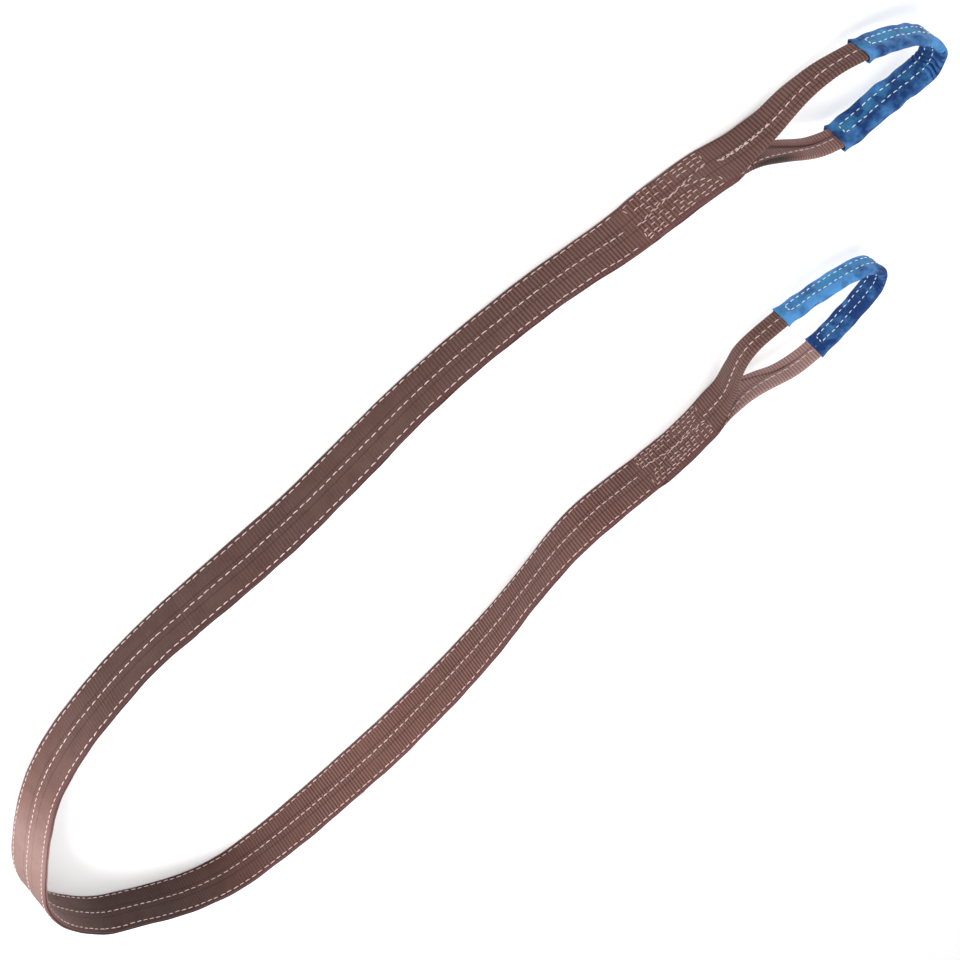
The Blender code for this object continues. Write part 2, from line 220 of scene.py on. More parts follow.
# Where the tails, the splice sewing and the seams start and end along the body.
HINGE_ROOM = HINGE_GAP + TAIL_RAMP
TAIL_SPAN = {
    "a": (TAIL_END, HINGE["a"] - HINGE_ROOM),
    "b": (HINGE["b"] + HINGE_ROOM, BODY_LENGTH - TAIL_END),
}
SEWN_SPAN = {
    "a": (0.023, HINGE["a"] - 0.009),
    "b": (HINGE["b"] + 0.004, BODY_LENGTH - 0.010),
}
SEAM_SPAN = {"a": (HINGE["a"] + 0.004, SPLIT_A), "b": (SPLIT_B, HINGE["b"] - 0.004)}


def body_value(s):
    return np.stack([np.interp(s, BODY_AT, BODY[:, k]) for k in range(3)], -1)


def ply_offset(s):
    """Distance from the web's middle to the middle of each ply: wider round a splice tail."""
    inside = np.maximum(HINGE["a"] - s, s - HINGE["b"])
    opened = smoothstep((inside - HINGE_GAP) / TAIL_RAMP)
    return PLY / 2 + CLEAR / 2 + opened * (TAIL + CLEAR) / 2


def body_frame(s):
    """The web's middle, its face normal (into the U) and its width direction."""
    value = body_value(s)
    reach = 0.006
    tangent = unit((body_value(s + reach) - body_value(s - reach))[:, :2])
    lean = value[:, 2:]
    inward = np.column_stack([-tangent[:, 1], tangent[:, 0], np.zeros(len(s))])
    up = np.array([[0.0, 0.0, 1.0]])
    width = inward * np.sin(lean) + up * np.cos(lean)
    normal = inward * np.cos(lean) - up * np.sin(lean)
    half = (ply_offset(s) + PLY / 2)[:, None]
    ground = np.column_stack([value[:, :2], np.zeros(len(s))])
    middle = ground + width * HALF + up * half * np.abs(np.sin(lean))
    return middle, normal, width


# ============ one strip of web as a run of stations ============
class Run:
    """Stations along a strip: middle line, face normal, width direction, rib phase, fold."""

    def __init__(self, middle, normal, width, phase, fold, vigour, tone):
        self.middle = middle
        self.normal = normal
        self.width = width
        self.phase = phase
        self.fold = fold
        self.vigour = vigour
        self.tone = tone
        self.shade = np.zeros(len(phase))
        steps = np.linalg.norm(np.diff(middle, axis=0), axis=1)
        self.at = np.concatenate([[0.0], np.cumsum(steps)])
        self.length = self.at[-1]


def rib_vigour(s):
    """How strongly the ribs stand up along the body: most near the splices and on strand b."""
    near_splice = np.exp(-((s - 0.19) / 0.13) ** 2)
    near_b = smoothstep((s - 1.40) / 0.45)
    slow = 0.14 * np.sin(s * 23.0) + 0.12 * np.sin(s * 51.0 + 1.3) + 0.08 * np.sin(s * 97.0)
    smooth_band = np.exp(-((s - SMOOTH_BAND) / 0.0066) ** 4)
    vigour = np.clip(0.20 + 0.85 * near_splice + 0.68 * near_b + slow, 0.06, 1.2)
    return vigour * (1 - 0.92 * smooth_band)


def web_tone(s):
    """How light the web is along the body, wear and painted light and shade together: palest where
    it turns.
    """
    at, tone = zip(*WEB_WEAR_AND_PAINTED_LIGHT)
    return np.interp(s, at, tone)


def rib_grid(start, end):
    """Distances with a fixed number of samples to each rib, ends included."""
    step = RIB_PITCH / RIB_SAMPLES
    inner = np.arange(math.ceil(start / step + 0.01), math.floor(end / step - 0.01) + 1) * step
    return np.concatenate([[start], inner, [end]])


def body_run(start, end, side):
    """A ply of the body from start to end; side is 1 for the ply inside the U, -1 outside."""
    s = rib_grid(start, end)
    middle, normal, width = body_frame(s)
    middle = middle + normal * (side * ply_offset(s))[:, None]
    flat = np.zeros((len(s), 2))
    return Run(middle, normal * side, width, s, flat, rib_vigour(s), web_tone(s))


def eye_line(end):
    """The eye's middle line in plan, from the ply on the low-y side to the other one."""
    edge = np.array([EDGE[end]])
    middle, normal, _ = body_frame(edge)
    low = normal[0, :2] if normal[0, 1] < 0 else -normal[0, :2]
    leg = ply_offset(edge)[0]
    first = middle[0, :2] + low * leg
    last = middle[0, :2] - low * leg
    line = catmull([tuple(first), *shifted(EYE_ROUTE[end]), tuple(last)])
    return line, middle[0, 2]


def smooth_rows(values, sigma):
    """values blurred along their rows by a bell of that many samples, ends held."""
    reach = int(4 * sigma)
    bell = np.exp(-0.5 * (np.arange(-reach, reach + 1) / sigma) ** 2)
    bell /= bell.sum()
    padded = np.pad(values, ((reach, reach), (0, 0)), mode="reflect", reflect_type="odd")
    return np.stack([np.convolve(c, bell, mode="valid") for c in padded.T], -1)


def end_run(end):
    """A whole end as one strip: in along one ply, round the folded eye, back along the other."""
    count = round(abs(SPLIT[end] - EDGE[end]) / EYE_STEP)
    s = np.linspace(SPLIT[end], EDGE[end], count + 1)[:-1]
    middle, normal, width = body_frame(s)
    low_side = 1.0 if normal[-1, 1] < 0 else -1.0
    offset = ply_offset(s)[:, None]
    first = middle + normal * low_side * offset
    last = (middle - normal * low_side * offset)[::-1]
    plan, height = eye_line(end)
    at = lengths(plan)
    u = np.linspace(0, at[-1], round(at[-1] / EYE_STEP) + 1)
    loop = np.stack([np.interp(u, at, plan[:, 0]), np.interp(u, at, plan[:, 1])], -1)
    loop = np.column_stack([loop, np.full(len(u), height)])
    line = np.vstack([first, loop, last])
    soft = smooth_rows(line, LINE_BLUR)
    crotch = np.array([len(first), len(first) + len(loop)])
    near = np.abs(np.arange(len(line))[:, None] - crotch[None]).min(1)
    share = smoothstep(1.4 - near / CROTCH_REACH)[:, None]
    share[crotch[0] + LOOP_MARGIN:crotch[1] - LOOP_MARGIN] = LOOP_BLUR_SHARE
    line = line * (1 - share) + soft * share
    up = np.tile([0.0, 0.0, 1.0], (len(loop), 1))
    across = smooth_rows(np.vstack([width, up, width[::-1]]), WIDTH_BLUR)
    return line, unit(across), (len(first), len(loop)), s, u


def flap_shares(end, where, eye_from, eye_to):
    """The folded shares of the two margins at each station of an end's run."""
    into = {"near": where - eye_from, "far": eye_to - where}
    shares = []
    for margin in (0, 1):
        legs = []
        for leg, distance in into.items():
            knots = np.array(FLAPS[end, leg][margin])
            legs.append(np.interp(distance, knots[:, 0], knots[:, 1]))
        shares.append(np.minimum(*legs))
    return smooth_rows(np.stack(shares, -1), 7.0)


def end_stations(end):
    """The run of one end, with ribs at an even pitch and the folds of the eye."""
    line, across, (lead, loop), s, u = end_run(end)
    steps = np.linalg.norm(np.diff(line, axis=0), axis=1)
    at = np.concatenate([[0.0], np.cumsum(steps)])
    eye_from, eye_to = at[lead], at[lead + loop - 1]
    # The rib phase follows the body on both legs, so ribs meet those of the turn pieces.
    edge = EDGE[end]
    towards = -1.0 if end == "a" else 1.0
    round_eye = edge + towards * u
    back = round_eye[-1] + towards * np.abs(s[::-1] - edge)
    phase = np.concatenate([s, round_eye, back])
    body_s = np.concatenate([s, np.full(loop, edge), s[::-1]])
    count = int(round(abs(phase[-1] - phase[0]) / RIB_PITCH * RIB_SAMPLES))
    grid = np.linspace(phase[0], phase[-1], count + 1)
    order = np.argsort(phase)

    def pick(values):
        return np.interp(grid, phase[order], values[order])

    middle = np.stack([pick(line[:, k]) for k in range(3)], -1)
    width = unit(np.stack([pick(across[:, k]) for k in range(3)], -1))
    where = pick(at)
    tangent = unit(np.gradient(middle, axis=0))
    width = unit(width - tangent * (width * tangent).sum(1, keepdims=True))
    normal = np.cross(tangent, width)
    in_eye = (where > eye_from) & (where < eye_to)
    centre = middle[in_eye].mean(0)
    probe = np.argmin(np.abs(where - (eye_from + eye_to) / 2))
    if ((middle[probe] - centre) * normal[probe]).sum() < 0:
        normal = -normal
    share, lean = zip(*EYE_LEAN[end])
    lean = np.interp((where - eye_from) / (eye_to - eye_from), share, np.radians(lean))
    lean = smooth_rows(np.where(in_eye, lean, 0.0)[:, None], 12.0)
    width, normal = (
        width * np.cos(lean) + normal * np.sin(lean),
        normal * np.cos(lean) - width * np.sin(lean),
    )
    fold = flap_shares(end, where, eye_from, eye_to)
    vigour = np.where(in_eye, 0.85, rib_vigour(pick(body_s)))
    vigour = smooth_rows(vigour[:, None], 6.0)[:, 0]
    # Painted light: the far leg of each eye is painted lighter than its near leg.
    legs = {"near": where - eye_from, "far": eye_to - where}
    share = smoothstep(legs["far"] / 0.03) * smoothstep((legs["far"] - legs["near"]) / -0.1)
    leg_tone = EYE_PAINTED_LIGHT[end]["near"] + (EYE_PAINTED_LIGHT[end]["far"] - EYE_PAINTED_LIGHT[end]["near"]) * share
    tone = np.where(in_eye, leg_tone, web_tone(pick(body_s)))
    tone = smooth_rows(tone[:, None], 10.0)[:, 0]
    run = Run(middle, normal, width, grid, fold, vigour, tone)
    run.eye = (eye_from, eye_to)
    run.shade = FLAP_PAINTED_SHADE[end] * smoothstep((0.105 - legs["far"]) / 0.05) * (legs["far"] > -0.03)
    run.where = where
    return run


# ============ the folded cross-section ============
def fold_section(shares, points):
    """Places (across, depth, turn) of web coordinates in a strip with folded margins.

    shares has a row (ground side, top side) for each station, and points has the web
    coordinates there. depth is along the face normal, below 0 inside; turn is the angle
    that the face has turned."""
    low = shares[:, :1] * LOWER_FLAP
    high = shares[:, 1:] * UPPER_FLAP
    lift = (UPPER_FLAP - LOWER_FLAP) / 2 * shares[:, :1] * shares[:, 1:]
    across = points.copy()
    depth = np.zeros_like(points)
    turn = np.zeros_like(points)
    arc = math.pi * FOLD_RADIUS
    for sign, size in ((1.0, high), (-1.0, low)):
        base = HALF - size
        over = sign * points - base
        folded = over > 0
        angle = np.clip(over / FOLD_RADIUS, 0, math.pi)
        past = np.maximum(over - arc, 0)
        across = np.where(folded, sign * (base + FOLD_RADIUS * np.sin(angle) - past), across)
        depth = np.where(folded, -FOLD_RADIUS * (1 - np.cos(angle)), depth)
        turn = np.where(folded, sign * angle, turn)
    return across + lift, depth, turn


def web_points(shares, half):
    """Web coordinates of each station's vertices, close together on the folded margins."""
    arc = math.pi * FOLD_RADIUS
    columns = []
    sides = []
    for size in (shares[:, 0] * LOWER_FLAP, shares[:, 1] * UPPER_FLAP):
        inner = np.maximum(size, 0.0040)
        outer = np.maximum(size - arc, 0.0016)
        sides.append((inner, outer))
    rim = np.array([0.0, 0.0005, 0.0012])
    (low_in, low_out), (high_in, high_out) = sides
    for share in rim:
        columns.append(np.full(len(shares), -half + share))
    for t in (0.25, 0.5, 0.75):
        columns.append(-half + rim[-1] + (low_out - rim[-1]) * t)
    for t in np.linspace(0, 1, 6):
        columns.append(-half + low_out + (low_in - low_out) * t)
    for t in np.linspace(0, 1, 13)[1:-1]:
        columns.append((-half + low_in) * (1 - t) + (half - high_in) * t)
    for t in np.linspace(1, 0, 6):
        columns.append(half - high_out - (high_in - high_out) * t)
    for t in (0.8, 0.6, 0.4, 0.2):
        columns.append(half - rim[-1] - (high_out - rim[-1]) * t)
    for share in rim[::-1]:
        columns.append(np.full(len(shares), half - share))
    return np.stack(columns, -1)


def rib_profile(phase, v, vigour):
    """Height of the weft ribs: rounded ridges with narrow grooves between them."""
    wave = 0.5 + 0.5 * np.cos(2 * math.pi * (phase / RIB_PITCH))
    ridge = wave ** 0.7
    edge = smoothstep((HALF - np.abs(v)) / 0.0045)
    tracer = 1 - 0.35 * np.exp(-((np.abs(v) - TRACER) / 0.0007) ** 2)
    return RIB_HEIGHT * (ridge - 0.55) * edge * tracer * vigour


def mesh_object(name, verts, faces, attribute=None, tone=None):
    data = bpy.data.meshes.new(name)
    data.vertices.add(len(verts))
    data.vertices.foreach_set("co", np.ascontiguousarray(verts, np.float32).ravel())
    faces = np.asarray(faces, np.int32)
    sides = faces.shape[1]
    data.loops.add(faces.size)
    data.loops.foreach_set("vertex_index", faces.ravel())
    data.polygons.add(len(faces))
    data.polygons.foreach_set("loop_start", np.arange(0, faces.size, sides, dtype=np.int32))
    data.polygons.foreach_set("use_smooth", np.ones(len(faces), bool))
    data.update(calc_edges=True)
    data.validate()
    if attribute is not None:
        layer = data.attributes.new("web_place", "FLOAT_VECTOR", "POINT")
        layer.data.foreach_set("vector", np.ascontiguousarray(attribute, np.float32).ravel())
    if tone is not None:
        layer = data.attributes.new("web_tone", "FLOAT", "POINT")
        layer.data.foreach_set("value", np.ascontiguousarray(tone, np.float32).ravel())
    obj = bpy.data.objects.new(name, data)
    bpy.context.scene.collection.objects.link(obj)
    return obj


def tube_faces(rings, around, closed_ends=True):
    """Quads round a tube of rings, with its ends closed by quads across the ring."""
    k = np.arange(around)
    r = np.arange(rings - 1)[:, None]
    a = r * around + k
    b = r * around + (k + 1) % around
    quads = np.stack([a, b, b + around, a + around], -1).reshape(-1, 4)
    if not closed_ends:
        return quads
    half = around // 2
    j = np.arange(half - 1)
    cap = np.stack([j, around - 1 - j, around - 2 - j, j + 1], -1)
    last = (rings - 1) * around + cap[:, ::-1]
    return np.vstack([quads, cap, last])


def sweep_web(name, run, web_width=WEB_WIDTH):
    """A ribbed strip of web along a run, folded where the run says so."""
    half = web_width / 2
    points = web_points(run.fold, half)
    stations, count = points.shape
    across, depth, turn = fold_section(run.fold, points)
    rim = smoothstep((half - np.abs(points)) / 0.0016)
    thick = PLY / 2 * (0.45 + 0.55 * rim)
    ribs = rib_profile(run.phase[:, None], points * HALF / half, run.vigour[:, None])
    n = run.normal[:, None]
    w = run.width[:, None]
    sway = 0.0003 * np.sin(run.phase * 61.0) + 0.0002 * np.sin(run.phase * 143.0 + 1.0)
    across = across * (1 + sway[:, None] / HALF)
    place = run.middle[:, None] + w * across[..., None] + n * depth[..., None]
    face = n * np.cos(turn)[..., None] + w * np.sin(turn)[..., None]
    top = place + face * (thick + ribs)[..., None]
    under = place - face * (thick + ribs * 0.7)[..., None]
    rings = np.concatenate([top, under[:, ::-1]], 1)
    around = 2 * count
    attribute = np.empty((stations, around, 3))
    attribute[..., 0] = run.phase[:, None]
    attribute[..., 1] = np.concatenate([points, points[:, ::-1]], 1)
    attribute[..., 2] = run.vigour[:, None]
    faces = tube_faces(stations, around)
    # Painted shade: the folded margin on top is darkened beside the crotch of the far leg.
    flap = smoothstep((points - 0.007) / 0.003) * smoothstep((0.0235 - points) / 0.003)
    shaded = run.tone[:, None] * (1 - flap * run.shade[:, None])
    tone = np.concatenate([shaded, shaded[:, ::-1]], 1)
    obj = mesh_object(name, rings.reshape(-1, 3), faces, attribute.reshape(-1, 3), tone)
    outward(obj)
    return obj


def outward(obj):
    """Turns the faces of a closed mesh outwards."""
    data = obj.data
    volume = 0.0
    co = np.empty(len(data.vertices) * 3, np.float32)
    data.vertices.foreach_get("co", co)
    co = co.reshape(-1, 3).astype(float)
    quads = np.array([p.vertices[:] for p in data.polygons])
    for a, b, c in ((0, 1, 2), (0, 2, 3)):
        x, y, z = co[quads[:, a]], co[quads[:, b]], co[quads[:, c]]
        volume += (x * np.cross(y, z)).sum()
    if volume < 0:
        data.flip_normals()


# ============ stitches ============
def stitch_mesh(name, starts, ends, lift_from, radius):
    """Separate sewing stitches: short rounded threads that dip into the cloth at both ends.

    starts, ends: points on the cloth; lift_from: the cloth's normals there."""
    rings = 7
    sides = 6
    t = np.linspace(0, 1, rings)
    arch = np.sin(math.pi * t) ** 0.5 * 1.25 - 0.55
    swell = np.array([0.45, 0.85, 1.0, 1.05, 1.0, 0.85, 0.45])
    a = np.asarray(starts)[:, None]
    b = np.asarray(ends)[:, None]
    n = unit(np.asarray(lift_from))[:, None]
    along = unit(b - a)
    side = unit(np.cross(along, n))
    up = np.cross(side, along)
    line = a + (b - a) * t[None, :, None] + up * (arch * radius)[None, :, None]
    angle = np.arange(sides) * 2 * math.pi / sides
    ring = (side[:, :, None] * (np.cos(angle) * 1.15)[None, None, :, None]
            + up[:, :, None] * np.sin(angle)[None, None, :, None])
    verts = line[:, :, None] + ring * (radius * swell)[None, :, None, None]
    per = rings * sides
    single = tube_faces(rings, sides)
    faces = (single[None] + (np.arange(len(verts)) * per)[:, None, None]).reshape(-1, 4)
    obj = mesh_object(name, verts.reshape(-1, 3), faces)
    outward(obj)
    return obj


def body_surface(side):
    """A function (distance, across) to a point and normal on an outer face of the body."""
    def at(s, v):
        middle, normal, width = body_frame(s)
        height = (ply_offset(s) + PLY / 2) * side
        return middle + width * v[:, None] + normal * height[:, None], normal * side

    return at


def dashes(start, end, pitch, dash, jitter, rng):
    """Starts and ends of stitches along a stretch, with a little unevenness."""
    count = max(1, int(abs(end - start) / pitch))
    k = np.arange(count)
    low = start + (end - start) * (k + 0.5) / count - math.copysign(dash / 2, end - start)
    low = low + rng.normal(0, jitter, count)
    return low, low + math.copysign(dash, end - start) * (1 + rng.normal(0, 0.06, count))


def seam_row(surface, start, end, across, rng):
    low, high = dashes(start, end, STITCH_PITCH, STITCH_LENGTH, 0.00035, rng)
    wander = across + 0.0005 * np.sin(low * 19.0 + across * 400) + rng.normal(0, 0.00016, len(low))
    slant = rng.normal(0, 0.00022, len(low))
    a, n = surface(low, wander)
    b, _ = surface(high, wander + slant)
    return a, b, n


def seam_stitches(name, side, start, end, rng, rows=SEAM_ROWS):
    parts = [seam_row(body_surface(side), start, end, v, rng) for v in rows.values()]
    a, b, n = (np.vstack([p[k] for p in parts]) for k in range(3))
    return stitch_mesh(name, a, b, n, THREAD_RADIUS)


def splice_lines(low, high):
    """The sewing of a splice: straight rows as (distance, across) ends, with a zigzag share."""
    span = high - low
    rows = (
        (0.00, -0.0245, 1.00, -0.0245, 0.1), (0.00, 0.0245, 1.00, 0.0245, 0.1),
        (0.02, -0.0200, 0.98, -0.0190, 0.4), (0.03, 0.0192, 1.00, 0.0204, 0.4),
        (0.00, -0.0142, 0.94, -0.0120, 0.5), (0.06, 0.0128, 1.00, 0.0140, 0.5),
        (0.00, -0.0072, 1.00, 0.0040, 1.0), (0.03, -0.0056, 0.96, 0.0054, 1.0),
        (0.10, 0.0066, 0.92, -0.0078, 0.6), (0.30, 0.0095, 0.86, 0.0080, 0.5),
        (0.00, -0.0240, 0.01, -0.0130, 0.2), (0.01, 0.0130, 0.00, 0.0240, 0.2),
        (1.00, -0.0230, 0.98, -0.0150, 0.2), (0.99, 0.0130, 1.00, 0.0230, 0.2),
    )
    return [((low + span * t0, v0), (low + span * t1, v1), z) for t0, v0, t1, v1, z in rows]


def splice_stitches(name, side, low, high, rng):
    surface = body_surface(side)
    parts = []
    for (s0, v0), (s1, v1), zigzag in splice_lines(low, high):
        length = math.hypot(s1 - s0, v1 - v0)
        t0, t1 = dashes(0.0, length, SPLICE_PITCH, SPLICE_DASH, 0.0007, rng)
        keep = rng.uniform(size=len(t0)) > 0.06
        t0, t1 = t0[keep] / length, t1[keep] / length
        bow = 0.0007 * np.sin(t0 * 9.0 + v0 * 300) + rng.normal(0, 0.0003, len(t0))
        slant = zigzag * 0.0011 * np.where(np.arange(len(t0)) % 2, 1.0, -0.6)
        slant = slant + rng.normal(0, 0.0003, len(t0))
        a, n = surface(s0 + (s1 - s0) * t0, v0 + (v1 - v0) * t0 + bow - slant / 2)
        b, _ = surface(s0 + (s1 - s0) * t1, v0 + (v1 - v0) * t1 + bow + slant / 2)
        parts.append((a, b, n))
    a, b, n = (np.vstack([p[k] for p in parts]) for k in range(3))
    return stitch_mesh(name, a, b, n, FINE_THREAD)


# ============ wear sleeves ============
def sleeve_frames(run, start, end, count):
    """Stations of the eye from start to end, as distances from the eye's first crotch."""
    where = np.linspace(start, end, count) + run.eye[0]

    def pick(values):
        return np.stack([np.interp(where, run.where, column) for column in values.T], -1)

    return pick(run.middle), unit(pick(run.normal)), unit(pick(run.width)), where - run.eye[0]


def make_sleeve(name, run, start, end, which):
    """The sewn sleeve: a flattened fabric tube, pressed along its stitch rows and puckered."""
    seed = SLEEVE_SEED[which]
    stations = SLEEVE_STATIONS
    around = SLEEVE_AROUND
    middle, normal, width, u = sleeve_frames(run, start, end, stations)
    tangent = smooth_rows(unit(np.gradient(middle, axis=0)), 6.0)
    bend = np.linalg.norm(np.gradient(tangent, axis=0), axis=1) / np.gradient(u)
    bend = smooth_rows(bend[:, None], 4.0)[:, 0]
    angle = np.arange(around) * 2 * math.pi / around
    at_near, at_far = SLEEVE_HALF_WIDE[which]
    half_wide = at_near + (at_far - at_near) * smoothstep((u - start) / (end - start) * 2 - 0.5)
    half_wide = half_wide[:, None]
    c = np.sign(np.cos(angle)) * np.abs(np.cos(angle)) ** SLEEVE_SQUARE
    d = np.sign(np.sin(angle)) * np.abs(np.sin(angle)) ** SLEEVE_SQUARE
    across = at_near * c
    from_mouth = np.maximum(np.minimum(u - start, end - u), 0.0)
    rng = np.random.default_rng(seed)
    waves = [
        (rng.uniform(60, 330), rng.uniform(0, 6.28), rng.uniform(-190, 190))
        for _ in range(SLEEVE_WAVES)
    ]
    s = u[:, None]
    v = across[None]
    outer_side = (d > 0)[None] * 1.0
    pressed = sum(np.exp(-((v - row) / 0.0014) ** 2) for row in SLEEVE_ROWS)
    near_rows = sum(np.exp(-((v - row) / 0.0042) ** 2) for row in SLEEVE_ROWS)
    quilt = sum(np.sin(s * f + p + v * g + 2.0 * outer_side) for f, p, g in waves)
    quilt = quilt / SLEEVE_WAVES
    pulled = np.abs(np.sin(math.pi * s / SLEEVE_PITCH + 260 * v * np.sign(d)[None]))
    puffed = smoothstep((v - SLEEVE_ROWS[1]) / 0.006) * smoothstep((at_near - v) / 0.003 + 0.3)
    crease = np.sin(s * 2 * math.pi / 0.0072 + 2.4 * np.sin(v * 230) + 1.5 * np.sin(s * 90))
    crease = crease * (1 - outer_side) * smoothstep((bend[:, None] - 10) / 25)
    depth = SLEEVE_HALF_THICK * (1 - 0.17 * pressed)
    depth = depth + 0.0024 * quilt - 0.0006 * (1 - pulled) * near_rows
    depth = depth + 0.0007 * puffed + 0.0017 * crease
    flare = np.exp(-(from_mouth / 0.0055) ** 1.5)[:, None]
    lips = 0.55 + 0.45 * np.sin(angle * 2 + seed)[None]
    depth = np.maximum(depth + 0.0020 * flare * lips, SLEEVE_THINNEST) * d[None]
    outline = np.sin(s * 140 + seed) + 0.8 * np.sin(s * 231 + 2 * seed)
    outline = SLEEVE_UNEVEN[which] * outline * np.sign(c)[None] + 0.0008 * crease
    wide = half_wide * c[None] * (1 + 0.05 * flare) + outline * c[None] ** 2
    centre = middle - normal * FOLD_RADIUS
    outer = centre[:, None] + width[:, None] * wide[..., None] + normal[:, None] * depth[..., None]
    inward_scale = 1 - SLEEVE_WALL / np.maximum(np.abs(depth), 0.0030)
    wide_in = wide * (1 - SLEEVE_WALL / half_wide)
    depth_in = depth * inward_scale
    inner_wall = (centre[:, None] + width[:, None] * wide_in[..., None]
                  + normal[:, None] * depth_in[..., None])
    # The wall turns round at each mouth as a folded hem.
    verts = np.concatenate([outer.reshape(-1, 3), inner_wall.reshape(-1, 3)])
    faces = tube_faces(stations, around, closed_ends=False)
    size = stations * around
    back = faces[:, ::-1] + size
    k = np.arange(around)
    nxt = (k + 1) % around
    first = np.stack([nxt, k, k + size, nxt + size], -1)
    end_ring = (stations - 1) * around
    last = np.stack([k, nxt, nxt + size, k + size], -1) + end_ring
    quads = np.vstack([faces, back, first, last])
    place = np.empty((2, stations, around, 3))
    place[..., 0] = s
    place[..., 1] = v
    place[..., 2] = d[None]
    along = (u - start) / (end - start)
    legs_and_tip = np.repeat(SLEEVE_PAINTED_LIGHT[which], (2, 1, 2))
    tone = np.interp(along, (0.0, 0.42, 0.50, 0.58, 1.0), legs_and_tip)
    # Painted shade: darker in the creases and at the tip, on the face inside the loop.
    at_tip = np.exp(-((along - 0.5) / 0.06) ** 2)[:, None]
    tone = tone[:, None] - 0.5 * np.clip(-crease, 0, 1) - 0.25 * at_tip * (1 - outer_side)
    tone = np.tile(tone.ravel(), 2)
    obj = mesh_object(name, verts, quads, place.reshape(-1, 3), tone)
    outward(obj)

    def surface(where, row, face):
        """A point and a normal on the sleeve's outer (1) or inner (-1) face."""
        index = np.interp(where, u, np.arange(stations))
        low = np.clip(index.astype(int), 0, stations - 2)
        share = (index - low)[:, None]
        side = np.where(np.sign(d) == face)[0]
        side = side[np.argsort(across[side])]
        out = []
        for i, f, r in zip(low, share, row):
            ring = outer[i, side] * (1 - f) + outer[i + 1, side] * f
            out.append([np.interp(r, across[side], ring[:, k]) for k in range(3)])
        n = normal[low] * face
        return np.array(out), n

    return obj, surface


def sleeve_stitches(name, surface, start, end, leg, rng):
    """Two rows and a cross row on both faces of one leg of a sleeve."""
    middle = (start + end) / 2
    mouth = start + SLEEVE_HEM if leg == "near" else end - SLEEVE_HEM
    parts = []
    for face in (1, -1):
        for row in SLEEVE_ROWS:
            low, high = dashes(mouth, middle, SLEEVE_PITCH, SLEEVE_DASH, 0.0003, rng)
            a, n = surface(low, np.full(len(low), row), face)
            b, _ = surface(high, np.full(len(low), row) + rng.normal(0, 0.0002, len(low)), face)
            parts.append((a, b, n))
        low, high = dashes(*SLEEVE_ROWS, 0.0048, 0.0036, 0.0001, rng)
        a, n = surface(np.full(len(low), mouth), low, face)
        b, _ = surface(np.full(len(low), mouth) + 0.0006, high, face)
        parts.append((a, b, n))
    a, b, n = (np.vstack([p[k] for p in parts]) for k in range(3))
    return stitch_mesh(name, a, b, n, FINE_THREAD)


# ============ materials ============
class Nodes:
    """A small helper that builds one material's node tree."""

    def __init__(self, name):
        self.material = bpy.data.materials.new(name)
        self.material.use_nodes = True
        self.tree = self.material.node_tree
        self.shader = self.tree.nodes["Principled BSDF"]

    def add(self, kind, inputs=None, **settings):
        node = self.tree.nodes.new(kind)
        for key, value in settings.items():
            setattr(node, key, value)
        for key, value in (inputs or {}).items():
            self.put(node.inputs[key], value)
        return node

    def put(self, socket, value):
        if isinstance(value, bpy.types.NodeSocket):
            self.tree.links.new(value, socket)
        else:
            socket.default_value = value

    def math(self, operation, a, b=0.0, c=0.0):
        return self.add("ShaderNodeMath", {0: a, 1: b, 2: c}, operation=operation).outputs[0]

    def mix(self, share, a, b, blend="MIX"):
        node = self.tree.nodes.new("ShaderNodeMix")
        node.data_type = "RGBA"
        node.blend_type = blend
        self.put(node.inputs[0], share)
        self.put(node.inputs[6], a)
        self.put(node.inputs[7], b)
        return node.outputs[2]

    def attribute(self, name, output="Fac"):
        return self.add("ShaderNodeAttribute", attribute_name=name).outputs[output]

    def ramp(self, value, low, high, start=0.0, end=1.0):
        return self.add(
            "ShaderNodeMapRange", {0: value, 1: low, 2: high, 3: start, 4: end}
        ).outputs[0]

    def noise(self, vector, scale, detail=3.0, rough=0.55):
        return self.add(
            "ShaderNodeTexNoise",
            {"Vector": vector, "Scale": scale, "Detail": detail, "Roughness": rough},
        ).outputs["Fac"]

    def tinted(self, attribute, tint):
        """A colour: an attribute's value times a tint."""
        value = self.attribute(attribute)
        parts = {k: self.math("MULTIPLY", value, share) for k, share in enumerate(tint)}
        return self.add("ShaderNodeCombineXYZ", parts).outputs[0]

    def bump(self, height, strength, distance, under=None):
        inputs = {"Strength": strength, "Distance": distance, "Height": height}
        node = self.add("ShaderNodeBump", inputs)
        if under is not None:
            self.put(node.inputs["Normal"], under)
        return node.outputs["Normal"]


def bell(nodes, value, centre, spread):
    """1 where value is at centre, falling to 0 over spread."""
    away = nodes.math("ABSOLUTE", nodes.math("SUBTRACT", value, centre))
    return nodes.ramp(away, 0.0, spread, 1.0, 0.0)


